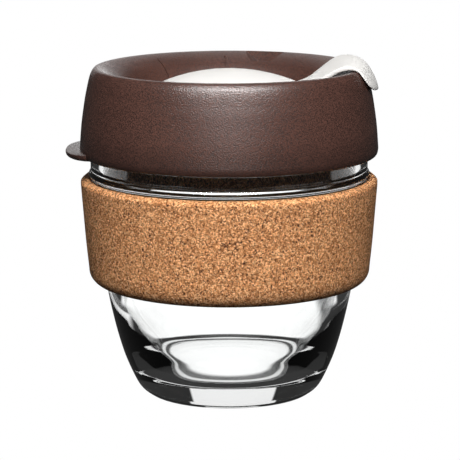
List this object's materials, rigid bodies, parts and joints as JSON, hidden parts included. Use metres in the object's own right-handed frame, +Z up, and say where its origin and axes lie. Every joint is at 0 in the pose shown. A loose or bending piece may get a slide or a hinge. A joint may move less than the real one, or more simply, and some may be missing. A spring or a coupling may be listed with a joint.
{
  "type": "reusable glass coffee cup",
  "caption": "Clear glass cup with a thick base, a cork grip band, a brown push-on lid with a thumb tab, and a cream swivel plug whose hinged arm hooks over the rim.",
  "frame": {"origin": "centre of the glass's flat foot, on the cup's own axis, at table height", "axes": "+Z up along the cup's axis; +X towards the plug's arm and the drinking side; the lid's thumb tab is at -X"},
  "size_m": [0.0922, 0.088, 0.1],
  "materials": {
    "clear_glass": "clear polished glass",
    "cork": "fine pressed cork, matte, light tan with dark grains",
    "lid_plastic": "dark brown plastic with a fine moulded grain",
    "plug_rubber": "cream soft elastomer, satin"
  },
  "bodies": {
    "cup": {"glass_cup": "clear_glass"},
    "band": {"cork_band": "cork"},
    "lid": {"lid_shell": "lid_plastic"},
    "plug": {"plug_disc": "plug_rubber"},
    "arm": {"plug_arm": "plug_rubber"}
  },
  "joints": [
    {"name": "band_slide", "type": "slide", "parent": "cup", "child": "band", "axis": [0, 0, -1], "range_m": [0, 0.03]},
    {"name": "lid_lift", "type": "slide", "parent": "cup", "child": "lid", "axis": [0, 0, 1], "range_m": [0, 0.06]},
    {"name": "plug_swivel", "type": "hinge", "parent": "lid", "child": "plug", "pos_m": [0, 0, 0.0866], "axis": [0, 0, 1], "range_deg": [0, 73]},
    {"name": "arm_lift", "type": "hinge", "parent": "plug", "child": "arm", "pos_m": [0.02, 0, 0.0923], "axis": [0, -1, 0], "range_deg": [0, 50], "stiffness_Nm_per_rad": 0.02}
  ]
}
